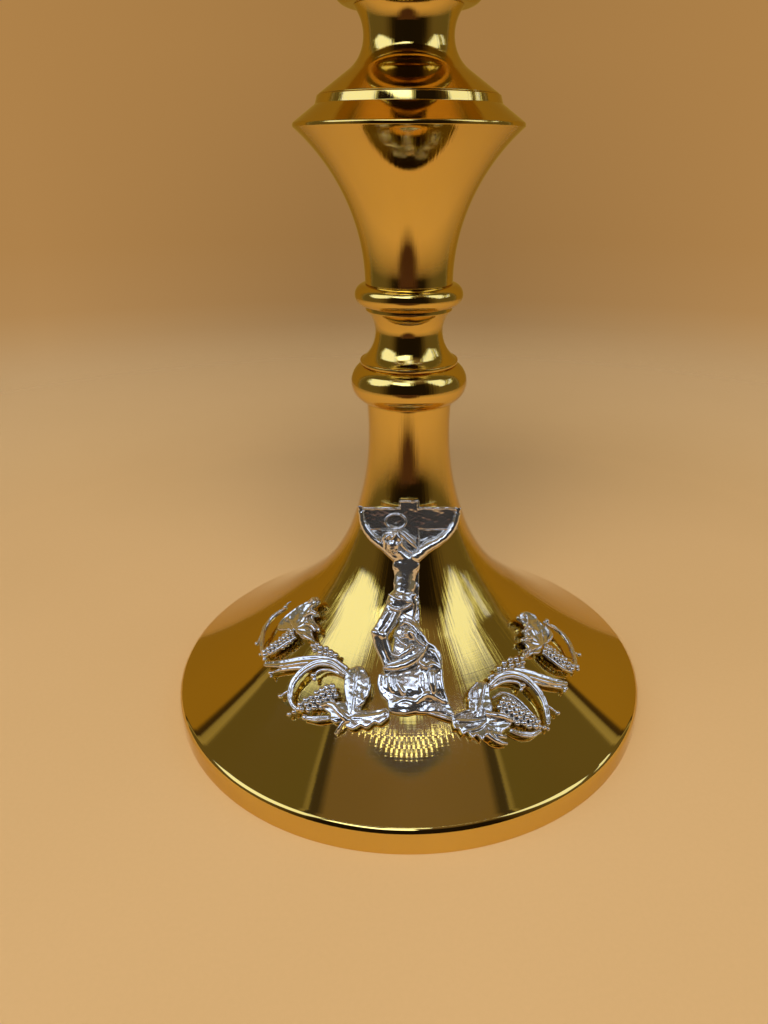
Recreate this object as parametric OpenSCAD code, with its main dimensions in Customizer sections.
// Gilt ciborium: a trumpet foot carrying a cast silver crucifixion group and two vine sprays,
// a turned stem with an inverted-cone knop, a round bowl and a lift-off lid with a cross.
// Millimetres, +Z up, the front with the crucifix faces -Y, z = 0 is the table.

/* [Foot] */
// Outer radius of the foot
foot_r = 65; // [58:0.5:75]
// Height of the upright side of the rim
foot_side_h = 5.6; // [4:0.2:8]
// Radius of the rounded top edge of the rim
foot_edge_r = 1.2; // [0.6:0.1:2]
// Tilt from upright of the slope where it meets the rim
foot_end_tilt = 60.7; // [58:0.1:64]
// Sheet thickness of the foot
foot_wall = 1.5; // [1:0.1:2]
// Width of the flat ring that stands on the table
foot_base_w = 2.5; // [2:0.1:4]
// Smallest radius of the foot's neck
neck_r = 10.25; // [9.5:0.05:11.5]
// Height of the narrowest place on the neck
neck_z = 77.4; // [72:0.2:82]
// Height of the foot's top face
foot_h = 84.6; // [83:0.1:90]
// Radius of the upper curve of the foot
foot_arc1_r = 75; // [70:1:80]
// Turn of the upper curve, in degrees
foot_arc1_turn = 21.3; // [19:0.1:23]
// Turn of the middle curve, in degrees
foot_arc2_turn = 28.5; // [26:0.1:30]
// Thickness of the plate that closes the foot's neck
foot_top_t = 2; // [1.5:0.1:3]

/* [Stem] */
// Radius of the lower collar at its widest
collar_r = 14.25; // [12.5:0.05:16]
// Radius of the lower collar's round section
collar_round = 5; // [4.7:0.05:5.5]
// Height of the lower collar
collar_h = 9.3; // [8.6:0.1:9.4]
// Radius of the lip under the waist
lip_r = 11.9; // [11.5:0.1:12.5]
// Height of the lip
lip_h = 0.9; // [0.5:0.1:1.5]
// Radius where the waist's curve leaves the lip
waist_low_r = 11.4; // [10.5:0.1:11.5]
// Smallest radius of the waist
waist_r = 8.07; // [7:0.05:9]
// Height from the lip to the narrowest place
waist_low_h = 6.8; // [5:0.1:9]
// Height from the narrowest place to the upper band
waist_up_h = 5; // [4:0.1:7]
// Height of the band on top of the waist
waist_band_h = 1; // [0.5:0.1:2]
// Radius of the stem at the upper band and under the knop
stem_r = 10.3; // [9.8:0.05:11]
// Radius of the stem ring's round section
ring_round = 2.5; // [1.8:0.1:3]

/* [Knop] */
// Radius of the knop's edge
knop_r = 25.1; // [22:0.1:29]
// Height of the knop's hollow curve
knop_curve_h = 32.3; // [29:0.1:36]
// Height of the short upright start of the knop
knop_start_h = 0.4; // [0.2:0.1:1]
// Height of the knop's thin edge
knop_edge_h = 0.7; // [0.4:0.1:1.5]
// Sheet thickness of the knop
knop_wall = 1.2; // [0.8:0.1:1.6]
// Thickness of the knop's bottom plate
knop_floor_t = 2.4; // [1.5:0.1:4]
// Height of the slope above the knop's edge
knop_slope_h = 3.6; // [2.5:0.1:5]
// Radius of the band above the slope
knop_band_r = 20.1; // [18.5:0.1:21]
// Height of the band
knop_band_h = 1.7; // [1:0.1:2.5]
// Depth of the spigot that centres the knop's cover
knop_spigot_h = 2; // [1:0.1:3]

/* [Upper neck] */
// Radius of the upper neck's base
upper_base_r = 19.7; // [17.5:0.1:20]
// Height of the narrowest place above the base
upper_waist_h = 11.1; // [9:0.1:14]
// Smallest radius of the upper neck
upper_waist_r = 9.5; // [9:0.1:10.5]
// Radius of the upper neck's curve
upper_arc_r = 7.8; // [7:0.1:8.4]
// Turn of the curve below the narrowest place, in degrees
upper_low_turn = 55; // [45:1:60]
// Height of the upper neck above its narrowest place
upper_top_h = 5.1; // [4:0.1:6]
// Radius of the top collar at its widest
top_collar_r = 15.5; // [14.5:0.1:17]
// Radius of the top collar's round section
top_collar_round = 3; // [2.5:0.1:3.5]

/* [Bowl] */
// Outer radius of the bowl
bowl_r = 56; // [50:0.5:62]
// Thickness of the bowl
bowl_wall = 1.5; // [1:0.1:2]
// Radius of the flat seat under the bowl
bowl_seat_r = 11.5; // [10.5:0.1:12.4]
// Height of the upright part of the bowl's wall
bowl_side_h = 11.7; // [9:0.1:20]

/* [Lid] */
// How far the lid's flange stands out past the bowl
lid_over = 2; // [1.6:0.1:4]
// Height of the flange
lid_flange_h = 2.4; // [1.8:0.1:3.5]
// Radius of the flange's rounded edge
lid_edge_r = 0.9; // [0.5:0.1:1.2]
// How far inside the bowl's face the dome leaves the flange
lid_shoulder = 3.5; // [3.4:0.1:6]
// Radius at which the dome's curve is centred
lid_dome_centre_r = 20; // [17:0.5:23]
// Depth of the dome's centre below the rim
lid_dome_drop = 15; // [12:0.5:18]
// Radius of the lid's hollow curve
lid_hollow_r = 28; // [24:0.5:32]
// Radius of the lid's neck
lid_neck_r = 7; // [6.8:0.1:8]
// Sheet thickness of the lid
lid_wall = 1.2; // [0.8:0.1:1.3]
// Thickness of the plate under the finial
lid_top_t = 2; // [1.5:0.1:3]
// Height of the ring that centres the lid in the bowl
lid_ring_h = 6; // [4:0.5:9]
// Thickness of that ring
lid_ring_t = 1.2; // [0.8:0.1:1.5]
// Radius of the finial ring's round section
finial_ring_round = 2.2; // [1.8:0.1:2.5]
// Radius of the finial ring at its widest
finial_ring_r = 9; // [8.6:0.1:9.6]
// Radius of the finial's ball
ball_r = 8.5; // [7.5:0.1:10]
// Radius of the flats on the ball
ball_flat_r = 4.5; // [4:0.1:5]
// Height of the lid's cross
lid_cross_h = 25; // [20:0.5:32]
// Span of the lid cross's arms
lid_cross_w = 17; // [14:0.5:22]
// Width of the lid cross's bars
lid_cross_bar = 4; // [3:0.1:5]
// Thickness of the lid cross
lid_cross_t = 3; // [2.5:0.1:4]
// Height of the arms as a share of the lid cross
lid_cross_arm = 0.66; // [0.6:0.01:0.75]
// Height of the round seat under the lid cross
lid_cross_seat_h = 2; // [1.5:0.1:3]

/* [Hardware] */
// Radius of the tie rod
rod_r = 3; // [2.5:0.1:3.2]
// Free fit of the turned pieces round the rod
rod_play = 0.3; // [0.2:0.05:0.5]
// Fit of a thread in its nut
thread_play = 0.05; // [0.02:0.01:0.08]
// Width across the flats of the tie nut
tie_nut_af = 10; // [9:0.5:11]
// Height of the tie nut
tie_nut_h = 5; // [4:0.1:6]
// Radius of the tie washer
tie_washer_r = 8; // [7:0.1:8.2]
// Thickness of the tie washer
tie_washer_t = 1.6; // [1:0.1:2]
// Length of rod below the nut
rod_tail = 3; // [1:0.5:6]
// Radius of the threaded boss under the bowl
boss_r = 8; // [6:0.1:8.4]
// Height of that boss
boss_h = 5.5; // [5:0.1:5.8]
// Metal left above the boss's blind hole
boss_cap = 1; // [0.6:0.1:1.5]
// Gap between the boss and the collar round it
boss_play = 0.3; // [0.2:0.05:0.5]
// Radius of the finial's stud
finial_stud_r = 2; // [1.6:0.1:2.2]
// Radius of the finial's washer
finial_washer_r = 5; // [4.5:0.1:5.1]
// Thickness of the finial's washer
finial_washer_t = 1; // [0.6:0.1:1.2]
// Width across the flats of the finial's nut
finial_nut_af = 7; // [6.5:0.1:7.5]
// Height of the finial's nut
finial_nut_h = 3.2; // [2.5:0.1:4]
// Gap between the lid's ring and the bowl
lid_play = 0.4; // [0.3:0.05:0.6]

/* [Ornament] */
// Gap between the castings and the gilt foot
cast_gap = 0.25; // [0.15:0.05:0.3]
// Height of the cross's plate above the foot
cross_t = 1.55; // [1.2:0.05:1.8]
// Width of the cross's post
post_w = 5.2; // [4.5:0.1:5.6]
// Half the length of the cross's arms
arm_reach = 12.8; // [12:0.1:14]
// Height of the cross's arms
arm_h = 4.6; // [4:0.1:5]
// Thickness of the leaves
leaf_t = 1.5; // [1:0.1:2]
// Radius of a grape
grape_r = 0.8; // [0.7:0.05:0.9]
// Radius of the vine's stems
vine_r = 0.65; // [0.55:0.05:0.8]
// Radius of the tendrils
tendril_r = 0.45; // [0.35:0.05:0.5]
// Length of the low leaves from their middle to their tip
low_leaf_l = 8.2; // [7:0.1:8.4]
// Length of the high leaves from their middle to their tip
high_leaf_l = 7.6; // [6.5:0.1:8]
// Gap between neighbouring grapes
grape_gap = 0.1; // [0.05:0.05:0.15]
// Radius of the large tendril beside the low bunch
low_curl_r = 6; // [5.6:0.1:6.2]
// Radius of the tendril beside the high bunch
high_curl_r = 5.4; // [5:0.1:5.6]
// Radius of the studs that hold the castings
stud_r = 0.8; // [0.7:0.05:0.9]
// Length of the studs inside the foot's wall
stud_tail = 3; // [2:0.1:4]
// Width across the flats of the studs' nuts
stud_nut_af = 3.2; // [2.8:0.1:3.6]
// Height of the studs' nuts
stud_nut_h = 1.3; // [1:0.1:1.6]
// Play of the studs in the foot
stud_play = 0.1; // [0.05:0.05:0.2]

/* [Hidden] */
$fn = 120;

// small overrun that keeps cutting tools clear of the faces they cut
over = 1;
// seat left between a nut or a stud's end and the sheet next to it
seat_gap = 0.05;

// Curves of the foot from its neck down: radii, tilts from upright where they meet, and centres.
// The middle and the lowest radius follow from the place of the rim, so all three meet in tangents.
foot_t1 = foot_arc1_turn;
foot_t2 = foot_arc1_turn + foot_arc2_turn;
foot_t3 = foot_end_tilt;
foot_edge_c = [foot_r - foot_edge_r, foot_side_h];
foot_p3 = foot_edge_c + foot_edge_r * [cos(foot_t3), sin(foot_t3)];
foot_run = foot_p3[0] - neck_r - foot_arc1_r * (1 - cos(foot_t1));
foot_drop = neck_z - foot_p3[1] - foot_arc1_r * sin(foot_t1);
foot_share2 = [cos(foot_t1) - cos(foot_t2), sin(foot_t2) - sin(foot_t1)];
foot_share3 = [cos(foot_t2) - cos(foot_t3), sin(foot_t3) - sin(foot_t2)];
foot_solve = foot_share2[0] * foot_share3[1] - foot_share3[0] * foot_share2[1];
foot_arc2_r = (foot_run * foot_share3[1] - foot_drop * foot_share3[0]) / foot_solve;
foot_arc3_r = (foot_drop * foot_share2[0] - foot_run * foot_share2[1]) / foot_solve;
foot_c1 = [neck_r + foot_arc1_r, neck_z];
foot_c2 = foot_c1 - (foot_arc1_r - foot_arc2_r) * [cos(foot_t1), sin(foot_t1)];
foot_c3 = foot_c2 - (foot_arc2_r - foot_arc3_r) * [cos(foot_t2), sin(foot_t2)];
foot_s1 = foot_arc1_r * foot_t1 * PI / 180;
foot_s2 = foot_s1 + foot_arc2_r * (foot_t2 - foot_t1) * PI / 180;

// Heights up the stem
bore_r = rod_r + rod_play;
tie_washer_z = foot_h - foot_top_t - tie_washer_t;
tie_nut_z = tie_washer_z - tie_nut_h;
waist_z = foot_h + collar_h;
ring_z = waist_z + lip_h + waist_low_h + waist_up_h + waist_band_h;
knop_z = ring_z + 2 * ring_round;
knop_curve_z = knop_z + knop_start_h;
knop_edge_z = knop_curve_z + knop_curve_h;
cover_z = knop_edge_z + knop_edge_h;
upper_z = cover_z + knop_slope_h + knop_band_h;
upper_waist_z = upper_z + upper_waist_h;
top_collar_z = upper_waist_z + upper_top_h;
bowl_z = top_collar_z + 2 * top_collar_round;
bowl_centre_z = bowl_z + sqrt(pow(bowl_r, 2) - pow(bowl_seat_r, 2));
lid_z = bowl_centre_z + bowl_side_h;
bowl_in_r = bowl_r - bowl_wall;

// Knop's hollow curve
knop_rise = knop_r - stem_r;
knop_arc_r = (pow(knop_curve_h, 2) + pow(knop_rise, 2)) / (2 * knop_rise);
knop_c = [stem_r + knop_arc_r, knop_curve_z];
knop_spigot_z = cover_z - knop_spigot_h;
knop_spigot_r = knop_c[0] - rod_play
    - sqrt(pow(knop_arc_r + knop_wall, 2) - pow(knop_spigot_z - knop_curve_z, 2));

// Lid's dome and hollow curve, which meet in one tangent
lid_r = bowl_r + lid_over;
lid_dome_r = bowl_r - lid_shoulder;
lid_dome_c = [lid_dome_centre_r, lid_z - lid_dome_drop];
lid_dome_p = [lid_dome_r, lid_z + lid_flange_h];
lid_dome_arc = norm(lid_dome_p - lid_dome_c);
lid_hollow_dx = lid_neck_r + lid_hollow_r - lid_dome_centre_r;
lid_top_z = lid_dome_c[1] + sqrt(pow(lid_dome_arc + lid_hollow_r, 2) - pow(lid_hollow_dx, 2));
lid_hollow_c = [lid_neck_r + lid_hollow_r, lid_top_z];
lid_low_turn = atan2(lid_dome_p[1] - lid_dome_c[1], lid_dome_p[0] - lid_dome_c[0]);
lid_join_turn = atan2(lid_top_z - lid_dome_c[1], lid_hollow_dx);
lid_ring_r = bowl_in_r - lid_play;
ball_half = sqrt(pow(ball_r, 2) - pow(ball_flat_r, 2));
ball_z = lid_top_z + 2 * finial_ring_round;
lid_cross_z = ball_z + 2 * ball_half;
finial_bore_r = finial_stud_r + rod_play;
finial_washer_z = lid_top_z - lid_top_t - finial_washer_t;
finial_nut_z = finial_washer_z - finial_nut_h;

// Slopes of the top and the foot of the crucifix's post and of the middle of its bar
cross_top_s = 15;
cross_low_s = 47;
bar_s = 18.6;
// Size of the castings against the one they were drawn for, whose post is 32 mm long
cast_k = (cross_low_s - cross_top_s) / 32;
// Slope, side step, radius and thickness of the halo
halo_s = 21.8;
halo_x = -3.5;
halo_r = 2.5;
halo_t = 0.35;
// Fineness of the figures
figure_fn = 14;

// Radius, height and tilt on the front of the foot, s millimetres of slope below the neck
function foot_tilt(s) = s < foot_s1 ? s / foot_arc1_r * 180 / PI
    : s < foot_s2 ? foot_t1 + (s - foot_s1) / foot_arc2_r * 180 / PI
    : foot_t2 + (s - foot_s2) / foot_arc3_r * 180 / PI;
function foot_centre(s) = s < foot_s1 ? foot_c1 : s < foot_s2 ? foot_c2 : foot_c3;
function foot_radius(s) = s < foot_s1 ? foot_arc1_r : s < foot_s2 ? foot_arc2_r : foot_arc3_r;
function foot_point(s, h = 0) = foot_centre(s)
    - (foot_radius(s) - h) * [cos(foot_tilt(s)), sin(foot_tilt(s))];
// A place x to the right of the front line, at slope s, h above the foot
function front(x, s, h) = [x, -foot_point(s, h)[0], foot_point(s, h)[1]];
// A point on an arc that bulges towards the axis
function on_arc(c, r, a) = c - r * [cos(a), sin(a)];

// Puts children on the foot: x round the foot, y up the slope, z outwards
module at_foot(phi, s, h = 0) {
    p = foot_point(s, h);
    rotate([0, 0, phi])
        translate([0, -p[0], p[1]])
            rotate([90 - foot_tilt(s), 0, 0])
                children();
}

// Slice of a disc between two directions
module slice(c, r, a0, a1) {
    intersection() {
        translate(c)
            circle(r = r);
        polygon([c, c + 2 * r * [cos(a0), sin(a0)], c + 2 * r * [cos(a1), sin(a1)]]);
    }
}

// Hollow of an arc that bulges towards the axis, between two tilts
module hollow(c, r, a0, a1) {
    slice(c, r, 180 + a0, 180 + a1);
}

// Half profile under the foot's slope, drawn t inside it, from z_low up to z_top
module foot_form(t, r_low, z_low, z_top) {
    a_top = -asin((z_top - neck_z) / (foot_arc1_r + t));
    difference() {
        polygon([[0, z_low], [r_low, z_low],
            [r_low, foot_c3[1] - sqrt(pow(foot_arc3_r + t, 2) - pow(foot_c3[0] - r_low, 2))],
            on_arc(foot_c2, foot_arc2_r + t, foot_t2), on_arc(foot_c1, foot_arc1_r + t, foot_t1),
            on_arc(foot_c1, foot_arc1_r + t, a_top), [0, z_top]]);
        hollow(foot_c1, foot_arc1_r + t, a_top, foot_t1);
        hollow(foot_c2, foot_arc2_r + t, foot_t1, foot_t2);
        hollow(foot_c3, foot_arc3_r + t, foot_t2, foot_t3 + 1);
    }
}

// Half profile of the foot filled to the axis
module foot_outline() {
    foot_form(0, foot_p3[0], 0, foot_h);
    translate([foot_p3[0] - over, 0])
        square([foot_r - foot_p3[0] + over, foot_side_h]);
    slice(foot_edge_c, foot_edge_r, 0, foot_t3);
}

module foot() {
    color("goldenrod")
    difference() {
        rotate_extrude()
            difference() {
                foot_outline();
                foot_form(foot_wall, foot_r - foot_base_w, -over, foot_h - foot_top_t);
            }
        translate([0, 0, foot_h - foot_top_t - over])
            cylinder(r = bore_r, h = foot_top_t + 2 * over);
        at_studs()
            translate([0, 0, -foot_wall - over])
                cylinder(r = stud_r + stud_play, h = foot_wall + 2 * over, $fn = 32);
    }
}

module tie_rod() {
    low_z = tie_nut_z - rod_tail;
    color("lightsteelblue")
    translate([0, 0, low_z])
        cylinder(r = rod_r, h = bowl_z - 2 * boss_cap - low_z);
}

module tie_washer() {
    color("silver")
    translate([0, 0, tie_washer_z])
        difference() {
            cylinder(r = tie_washer_r, h = tie_washer_t);
            translate([0, 0, -over])
                cylinder(r = bore_r, h = tie_washer_t + 2 * over);
        }
}

module tie_nut() {
    color("silver")
    translate([0, 0, tie_nut_z])
        hex_nut(tie_nut_af, tie_nut_h, rod_r + thread_play);
}

module hex_nut(af, h, hole_r) {
    difference() {
        cylinder(r = af / sqrt(3), h = h, $fn = 6);
        translate([0, 0, -over])
            cylinder(r = hole_r, h = h + 2 * over);
    }
}

module lower_collar() {
    color("goldenrod")
    rotate_extrude()
        intersection() {
            union() {
                translate([collar_r - collar_round, foot_h + collar_h / 2])
                    circle(r = collar_round);
                translate([0, foot_h])
                    square([collar_r - collar_round, collar_h]);
            }
            translate([bore_r, foot_h])
                square([collar_r, collar_h]);
        }
}

module waist_spool() {
    low_rise = waist_low_r - waist_r;
    low_arc = (pow(waist_low_h, 2) + pow(low_rise, 2)) / (2 * low_rise);
    up_rise = stem_r - waist_r;
    up_arc = (pow(waist_up_h, 2) + pow(up_rise, 2)) / (2 * up_rise);
    z0 = waist_z + lip_h;
    mid = z0 + waist_low_h;
    color("goldenrod")
    rotate_extrude()
        difference() {
            polygon([[bore_r, waist_z], [lip_r, waist_z], [lip_r, z0], [waist_low_r, z0],
                [waist_r, mid], [stem_r, mid + waist_up_h], [stem_r, ring_z], [bore_r, ring_z]]);
            hollow([waist_r + low_arc, mid], low_arc, 0, asin(waist_low_h / low_arc));
            hollow([waist_r + up_arc, mid], up_arc, -asin(waist_up_h / up_arc), 0);
        }
}

module stem_ring() {
    color("goldenrod")
    rotate_extrude() {
        translate([bore_r, ring_z])
            square([stem_r - bore_r, 2 * ring_round]);
        intersection() {
            translate([stem_r, ring_z + ring_round])
                circle(r = ring_round);
            translate([stem_r - over, ring_z])
                square([ring_round + 2 * over, 2 * ring_round]);
        }
    }
}

// Half profile of the knop's cone drawn t inside its face
module knop_form(t, z_low) {
    arc = knop_arc_r + t;
    a_low = -asin((z_low - knop_curve_z) / arc);
    a_top = -asin(knop_curve_h / arc);
    difference() {
        polygon([[0, z_low], on_arc(knop_c, arc, a_low), on_arc(knop_c, arc, a_top), [0, knop_edge_z]]);
        hollow(knop_c, arc, a_top, a_low);
    }
}

module knop_cone() {
    lip_in = knop_c[0] - sqrt(pow(knop_arc_r + knop_wall, 2) - pow(knop_curve_h, 2));
    color("goldenrod")
    difference() {
        rotate_extrude() {
            translate([0, knop_z])
                square([stem_r, knop_start_h]);
            difference() {
                knop_form(0, knop_curve_z);
                knop_form(knop_wall, knop_z + knop_floor_t);
            }
            translate([lip_in, knop_edge_z])
                square([knop_r - lip_in, knop_edge_h]);
        }
        translate([0, 0, knop_z - over])
            cylinder(r = bore_r, h = knop_floor_t + 2 * over);
    }
}

module knop_cover() {
    color("goldenrod")
    rotate_extrude()
        polygon([[bore_r, knop_spigot_z], [knop_spigot_r, knop_spigot_z], [knop_spigot_r, cover_z],
            [knop_r, cover_z], [knop_band_r, cover_z + knop_slope_h], [knop_band_r, upper_z],
            [bore_r, upper_z]]);
}

module upper_neck() {
    c = [upper_waist_r + upper_arc_r, upper_waist_z];
    a_top = -asin(upper_top_h / upper_arc_r);
    color("goldenrod")
    rotate_extrude()
        difference() {
            polygon([[bore_r, upper_z], [upper_base_r, upper_z], on_arc(c, upper_arc_r, upper_low_turn),
                on_arc(c, upper_arc_r, a_top), [bore_r, top_collar_z]]);
            hollow(c, upper_arc_r, a_top, upper_low_turn);
        }
}

module top_collar() {
    mid_r = top_collar_r - top_collar_round;
    color("goldenrod")
    rotate_extrude() {
        translate([boss_r + boss_play, top_collar_z])
            square([mid_r - boss_r - boss_play, 2 * top_collar_round]);
        intersection() {
            translate([mid_r, top_collar_z + top_collar_round])
                circle(r = top_collar_round);
            translate([mid_r - over, top_collar_z])
                square([top_collar_round + 2 * over, 2 * top_collar_round]);
        }
    }
}

module bowl_boss() {
    color("goldenrod")
    translate([0, 0, bowl_z - boss_h])
        difference() {
            cylinder(r = boss_r, h = boss_h);
            translate([0, 0, -over])
                cylinder(r = rod_r + thread_play, h = boss_h - boss_cap + over);
        }
}

// Half profile of a round-bottomed cup of radius r, open to z_top
module cup_form(r, z_low, z_top) {
    intersection() {
        translate([0, bowl_centre_z])
            circle(r = r);
        translate([0, z_low])
            square([r, bowl_centre_z - z_low]);
    }
    translate([0, bowl_centre_z])
        square([r, z_top - bowl_centre_z]);
}

module bowl() {
    color("goldenrod")
    rotate_extrude()
        difference() {
            cup_form(bowl_r, bowl_z, lid_z);
            cup_form(bowl_in_r, bowl_z + bowl_wall, lid_z + over);
        }
}

// The cross of the crucifix: a post that follows the foot's slope and a straight bar
module cross_form(grow, low, high) {
    top_z = foot_point(cross_top_s)[1];
    low_z = foot_point(cross_low_s)[1];
    intersection() {
        translate([-post_w / 2 - grow, -foot_r, low_z])
            cube([post_w + 2 * grow, foot_r - neck_r / 2, top_z - low_z]);
        foot_skin(low, high, low_z - over, top_z + over);
    }
    at_foot(0, bar_s, low)
        translate([-arm_reach - grow, -arm_h / 2 - grow, 0])
            cube([2 * (arm_reach + grow), arm_h + 2 * grow, high - low]);
}

// Layer of metal that lies between two heights over the foot
module foot_skin(low, high, z_low, z_top) {
    rotate_extrude()
        intersection() {
            difference() {
                foot_form(-high, foot_p3[0], foot_side_h, foot_h);
                foot_form(-low, foot_p3[0], foot_side_h - over, foot_h + over);
            }
            translate([0, z_low])
                square([foot_r, z_top - z_low]);
        }
}

module cross() {
    color("silver")
    cross_form(0, cast_gap, cast_gap + cross_t);
}

// Chain of rounded lumps: each entry is x, slope, height over the foot and radius
module limb(chain) {
    for (i = [0 : len(chain) - 2])
        hull()
            for (k = [i, i + 1])
                lump(chain[k]);
}

// One rounded lump of a figure
module lump(c) {
    translate(front(cast_k * c[0], cast_k * c[1], cast_k * c[2]))
        sphere(r = cast_k * c[3], $fn = figure_fn);
}

// One convex mass through all of the lumps in a list
module mass(list) {
    hull()
        for (c = list)
            lump(c);
}

module corpus() {
    shoulder_l = [-3.9, 29.6, 3.0, 1.3];
    shoulder_r = [2.4, 29.8, 3.0, 1.3];
    chest_l = [-3.0, 34.2, 3.3, 1.9];
    chest_r = [1.2, 34.2, 3.3, 1.9];
    belly_l = [-2.7, 39.6, 3.0, 1.8];
    belly_r = [0.7, 39.6, 3.0, 1.8];
    hip_l = [-3.9, 43.0, 3.3, 2.2];
    hip_r = [0.2, 43.0, 3.1, 2.2];
    knee_l = [-8.4, 50.6, 4.3, 1.6];
    knee_r = [-6.6, 51.5, 3.4, 1.6];
    color("silver")
    difference() {
        union() {
            limb([[-12.2, 20.3, 2.8, 0.8], [-10.8, 21.7, 2.7, 0.7], [-7.8, 25.3, 2.8, 0.9], shoulder_l]);
            limb([[11.8, 20.9, 2.8, 0.8], [10.4, 22.4, 2.7, 0.7], [6.8, 26.6, 2.8, 0.9], shoulder_r]);
            mass([shoulder_l, shoulder_r, chest_l, chest_r]);
            mass([chest_l, chest_r, belly_l, belly_r]);
            mass([belly_l, belly_r, hip_l, hip_r]);
            mass([hip_l, hip_r, [-3.6, 46.4, 3.5, 2.1], [-0.8, 46.2, 3.2, 2.0]]);
            limb([[-3.6, 46.0, 3.5, 2.0], knee_l, [-6.7, 56.0, 2.3, 1.05], [-7.2, 59.0, 1.9, 0.8]]);
            limb([[-1.4, 46.0, 3.1, 2.0], knee_r, [-5.4, 56.4, 1.9, 1.05], [-5.5, 59.4, 1.7, 0.8]]);
            limb([[-1.2, 29.2, 3.4, 1.3], [-2.8, 27.2, 4.2, 1.5]]);
            mass([[-3.3, 25.0, 4.5, 2.0], [-4.1, 27.0, 4.9, 1.5]]);
            translate(front(halo_x, halo_s, cast_gap + cross_t + 2 * halo_t))
                rotate([90 - foot_tilt(halo_s), 0, 0])
                    rotate_extrude($fn = 24)
                        translate([halo_r, 0])
                            circle(r = halo_t, $fn = 8);
        }
        rotate_extrude($fn = 96)
            foot_form(-cast_gap, foot_p3[0], 0, foot_h);
        cross_form(seat_gap, 0, cast_gap + cross_t + seat_gap);
    }
}

module mourner() {
    neck = [1.0, 52.0, 4.4, 1.5];
    back = [4.6, 56.2, 3.2, 2.3];
    chest = [1.6, 55.6, 3.8, 2.1];
    seat = [6.2, 62.5, 2.4, 2.6];
    lap = [1.6, 62.0, 3.0, 2.5];
    color("silver")
    difference() {
        union() {
            mass([[-0.6, 49.9, 5.1, 1.7], [0.4, 50.8, 4.9, 1.7]]);
            mass([[-0.1, 49.9, 4.8, 1.7], neck, [3.6, 53.4, 3.2, 1.5]]);
            mass([neck, [3.6, 53.4, 3.2, 1.5], chest, back]);
            mass([chest, back, lap, seat]);
            mass([lap, seat, [7.8, 67.2, 1.2, 1.2], [-2.8, 66.8, 1.4, 1.3]]);
            mass([[8.4, 68.6, 0.8, 0.6], [7.8, 67.0, 1.2, 1.2], [-2.8, 66.6, 1.4, 1.2],
                [-4.6, 68.2, 0.8, 0.6]]);
            limb([[2.2, 54.6, 4.4, 1.4], [0.6, 57.8, 4.6, 1.2], [-3.4, 59.6, 3.0, 0.9]]);
            limb([[0.8, 55.4, 3.6, 1.3], [-1.0, 58.6, 3.6, 1.1], [-3.0, 60.6, 2.4, 0.9]]);
        }
        rotate_extrude($fn = 96)
            foot_form(-cast_gap, foot_p3[0], 0, foot_h);
    }
}

// Right half of a vine leaf's edge as direction from the middle and share of the leaf's length
leaf_edge = [[90, 1], [78, 0.8], [70, 0.84], [60, 0.62], [48, 0.8], [36, 0.95], [27, 0.78], [16, 0.76],
    [6, 0.56], [-14, 0.74], [-28, 0.82], [-40, 0.66], [-58, 0.58], [-76, 0.3]];

// The right spray lies a little further round the foot than the left one and sinks as it goes
right_shift = 3.5;
right_lean = 0.08;
function place(side, a, s) = side < 0 ? [-a, cast_k * s]
    : [a + right_shift, cast_k * (s + right_lean * a)];

// Middles of the leaves, as angle and slope on the left
low_leaf = [18.5, 67.6];
high_leaf = [57, 55.4];
// Turn of each leaf's tip from straight up the slope, towards the spray's end
low_leaf_turn = -12;
high_leaf_turn = 60;
// Grapes in each row of the low and the high bunch
low_rows = [2, 3, 3, 2, 2, 1];
high_rows = [2, 3, 2, 2, 1];
// Height of the middle of the grapes over the foot, and radius of their stalks
grape_rise = cast_gap + 1.4 * grape_r;
stalk_r = grape_r / 3;
// Height of the middle of the stems over the foot
stem_rise = cast_gap + 1.1;
// Size of a bud against its stem
bud_share = 1.6;

// Puts children at a place of a spray, drawn for the left and mirrored on the right
module on_spray(side, a, s, h) {
    p = place(side, a, s);
    at_foot(p[0], p[1], h)
        mirror([side < 0 ? 0 : 1, 0, 0])
            children();
}

// Height of a flat leaf's back over the foot, which keeps its ends clear of the hollow slope
function leaf_lift(s, size) = cast_gap
    + pow(size, 2) / (2 * (s - size < foot_s2 ? foot_arc2_r : foot_arc3_r));

// Vine leaf of a given length, laid flat on the foot and turned about its middle
module leaf(side, middle, size, turn) {
    n = len(leaf_edge);
    left = [for (i = [n - 1 : -1 : 1]) leaf_edge[i][1] * [-cos(leaf_edge[i][0]), sin(leaf_edge[i][0])]];
    right = [for (e = leaf_edge) e[1] * [cos(e[0]), sin(e[0])]];
    on_spray(side, middle[0], middle[1], leaf_lift(place(side, middle[0], middle[1])[1], size))
        rotate([0, 0, turn])
            linear_extrude(height = leaf_t)
                polygon(size * concat(right, left));
}

module leaves(side) {
    leaf(side, low_leaf, low_leaf_l, low_leaf_turn);
    leaf(side, high_leaf, high_leaf_l, high_leaf_turn);
}

module leaves_left() {
    color("silver")
    leaves(-1);
}

module leaves_right() {
    color("silver")
    leaves(1);
}

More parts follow.
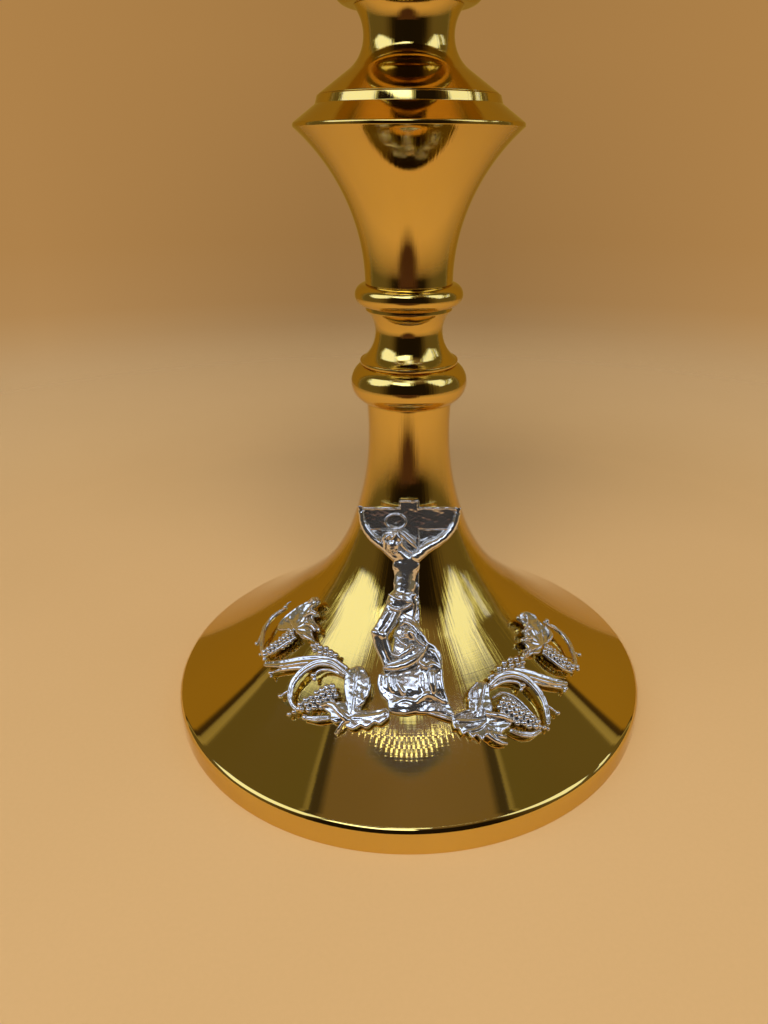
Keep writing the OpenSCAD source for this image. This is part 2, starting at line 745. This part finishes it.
// Bunch of grapes from its stalk to its tip, in rows across a thin stalk
module bunch(side, a, s, turn, rows) {
    pitch = 2 * grape_r + grape_gap;
    on_spray(side, a, s, grape_rise)
        rotate([0, 0, turn]) {
            rotate([0, 90, 0])
                cylinder(r = stalk_r, h = (len(rows) - 1) * pitch, $fn = 24);
            for (i = [0 : len(rows) - 1])
                translate([i * pitch, 0, 0]) {
                    if (rows[i] > 1)
                        rotate([90, 0, 0])
                            cylinder(r = stalk_r, h = (rows[i] - 1) * pitch, center = true, $fn = 24);
                    for (j = [0 : rows[i] - 1])
                        translate([0, (j - (rows[i] - 1) / 2) * pitch, 0])
                            sphere(r = grape_r, $fn = 32);
                }
        }
}

module grapes(side) {
    bunch(side, 31, 66.5, 230, low_rows);
    bunch(side, 60, 63.4, 253, high_rows);
}

module grapes_left() {
    color("silver")
    grapes(-1);
}

module grapes_right() {
    color("silver")
    grapes(1);
}

// Part ring of round bar with a bud at its far end; c is the ring's middle beside the place
module curl(side, a, s, c, ring_r, bar_r, start, sweep) {
    on_spray(side, a, s, stem_rise)
        translate(c)
            rotate([0, 0, start]) {
                rotate_extrude(angle = sweep)
                    translate([ring_r, 0])
                        circle(r = bar_r, $fn = 32);
                rotate([0, 0, sweep])
                    translate([ring_r, 0, 0])
                        sphere(r = bud_share * bar_r, $fn = 32);
            }
}

// Main stem and two tendrils of a spray
module vine(side) {
    bow_r = 40 * cast_k;
    bow_mid = 122;
    bow_half = 13;
    bow_c = -bow_r * [cos(bow_mid), sin(bow_mid)];
    curl(side, 44, 62.2, bow_c, bow_r, vine_r, bow_mid - bow_half, 2 * bow_half);
    curl(side, 33.5, 66.8, [0, 0], low_curl_r, tendril_r, 50, 145);
    curl(side, 66, 62, [0, 0], high_curl_r, tendril_r, 130, 130);
}

module vine_left() {
    color("silver")
    vine(-1);
}

module vine_right() {
    color("silver")
    vine(1);
}

// A stud behind a leaf, as angle, slope and height of the leaf's back
function leaf_stud(side, middle, size) = concat(place(side, middle[0], middle[1]),
    leaf_lift(place(side, middle[0], middle[1])[1], size));

// Places of the studs: angle, slope and height of the back of what they hold
stud_places = [[0, 40 * cast_k, cast_gap], [5.5, 64 * cast_k, cast_gap],
    leaf_stud(-1, low_leaf, low_leaf_l), leaf_stud(1, low_leaf, low_leaf_l),
    leaf_stud(-1, high_leaf, high_leaf_l), leaf_stud(1, high_leaf, high_leaf_l)];

module at_studs() {
    for (p = stud_places)
        at_foot(p[0], p[1])
            children();
}

module cast_studs() {
    color("silver")
    for (p = stud_places)
        at_foot(p[0], p[1], -foot_wall - stud_tail)
            cylinder(r = stud_r, h = foot_wall + stud_tail + p[2] - seat_gap, $fn = 32);
}

module cast_nuts() {
    color("silver")
    at_studs()
        translate([0, 0, -foot_wall - stud_nut_h - seat_gap])
            hex_nut(stud_nut_af, stud_nut_h, stud_r + thread_play);
}

// Half profile of the lid drawn t inside its face
module lid_form(t, z_top) {
    dome = lid_dome_arc - t;
    bend = lid_hollow_r + t;
    join = lid_dome_c + dome * [cos(lid_join_turn), sin(lid_join_turn)];
    low = lid_dome_c + dome * [cos(lid_low_turn), sin(lid_low_turn)];
    a_top = -asin((z_top - lid_top_z) / bend);
    intersection() {
        difference() {
            union() {
                polygon([[0, lid_dome_c[1]], lid_dome_c, low, join,
                    on_arc(lid_hollow_c, bend, a_top), [0, z_top]]);
                slice(lid_dome_c, dome, 0, lid_low_turn);
                slice(lid_dome_c, dome, lid_low_turn, lid_join_turn);
            }
            hollow(lid_hollow_c, bend, a_top, lid_join_turn);
        }
        translate([0, lid_z])
            square([lid_r, lid_top_z - lid_z]);
    }
}

module lid_shell() {
    color("goldenrod")
    difference() {
        rotate_extrude()
            difference() {
                union() {
                    lid_form(0, lid_top_z);
                    translate([0, lid_z])
                        square([lid_r - lid_edge_r, lid_flange_h]);
                    translate([0, lid_z])
                        square([lid_r, lid_flange_h - lid_edge_r]);
                    slice([lid_r - lid_edge_r, lid_z + lid_flange_h - lid_edge_r], lid_edge_r, 0, 90);
                }
                lid_form(lid_wall, lid_top_z - lid_top_t);
            }
        translate([0, 0, lid_top_z - lid_top_t - over])
            cylinder(r = finial_bore_r, h = lid_top_t + 2 * over);
    }
}

module lid_ring() {
    color("goldenrod")
    translate([0, 0, lid_z - lid_ring_h])
        difference() {
            cylinder(r = lid_ring_r, h = lid_ring_h);
            translate([0, 0, -over])
                cylinder(r = lid_ring_r - lid_ring_t, h = lid_ring_h + 2 * over);
        }
}

module finial_ring() {
    mid_r = finial_ring_r - finial_ring_round;
    color("goldenrod")
    rotate_extrude() {
        translate([finial_bore_r, lid_top_z])
            square([mid_r - finial_bore_r, 2 * finial_ring_round]);
        intersection() {
            translate([mid_r, lid_top_z + finial_ring_round])
                circle(r = finial_ring_round);
            translate([mid_r - over, lid_top_z])
                square([finial_ring_round + 2 * over, 2 * finial_ring_round]);
        }
    }
}

module finial_ball() {
    color("goldenrod")
    rotate_extrude()
        intersection() {
            translate([0, ball_z + ball_half])
                circle(r = ball_r);
            translate([finial_bore_r, ball_z])
                square([ball_r, 2 * ball_half]);
        }
}

module lid_cross() {
    arm_z = lid_cross_z + lid_cross_arm * lid_cross_h;
    color("goldenrod") {
        translate([-lid_cross_bar / 2, -lid_cross_t / 2, lid_cross_z + lid_cross_seat_h / 2])
            cube([lid_cross_bar, lid_cross_t, lid_cross_h - lid_cross_seat_h / 2]);
        translate([-lid_cross_w / 2, -lid_cross_t / 2, arm_z - lid_cross_bar / 2])
            cube([lid_cross_w, lid_cross_t, lid_cross_bar]);
        translate([0, 0, lid_cross_z])
            cylinder(r1 = ball_flat_r, r2 = lid_cross_bar / 2, h = lid_cross_seat_h);
        translate([0, 0, finial_nut_z - lid_cross_seat_h])
            cylinder(r = finial_stud_r, h = lid_cross_z - finial_nut_z + 2 * lid_cross_seat_h);
    }
}

module finial_washer() {
    color("silver")
    translate([0, 0, finial_washer_z])
        difference() {
            cylinder(r = finial_washer_r, h = finial_washer_t);
            translate([0, 0, -over])
                cylinder(r = finial_bore_r, h = finial_washer_t + 2 * over);
        }
}

module finial_nut() {
    color("silver")
    translate([0, 0, finial_nut_z])
        hex_nut(finial_nut_af, finial_nut_h, finial_stud_r + thread_play);
}

foot();
tie_rod();
tie_washer();
tie_nut();
lower_collar();
waist_spool();
stem_ring();
knop_cone();
knop_cover();
upper_neck();
top_collar();
bowl_boss();
bowl();
cross();
corpus();
mourner();
leaves_left();
leaves_right();
vine_left();
vine_right();
grapes_left();
grapes_right();
cast_studs();
cast_nuts();
lid_shell();
lid_ring();
finial_ring();
finial_ball();
lid_cross();
finial_washer();
finial_nut();
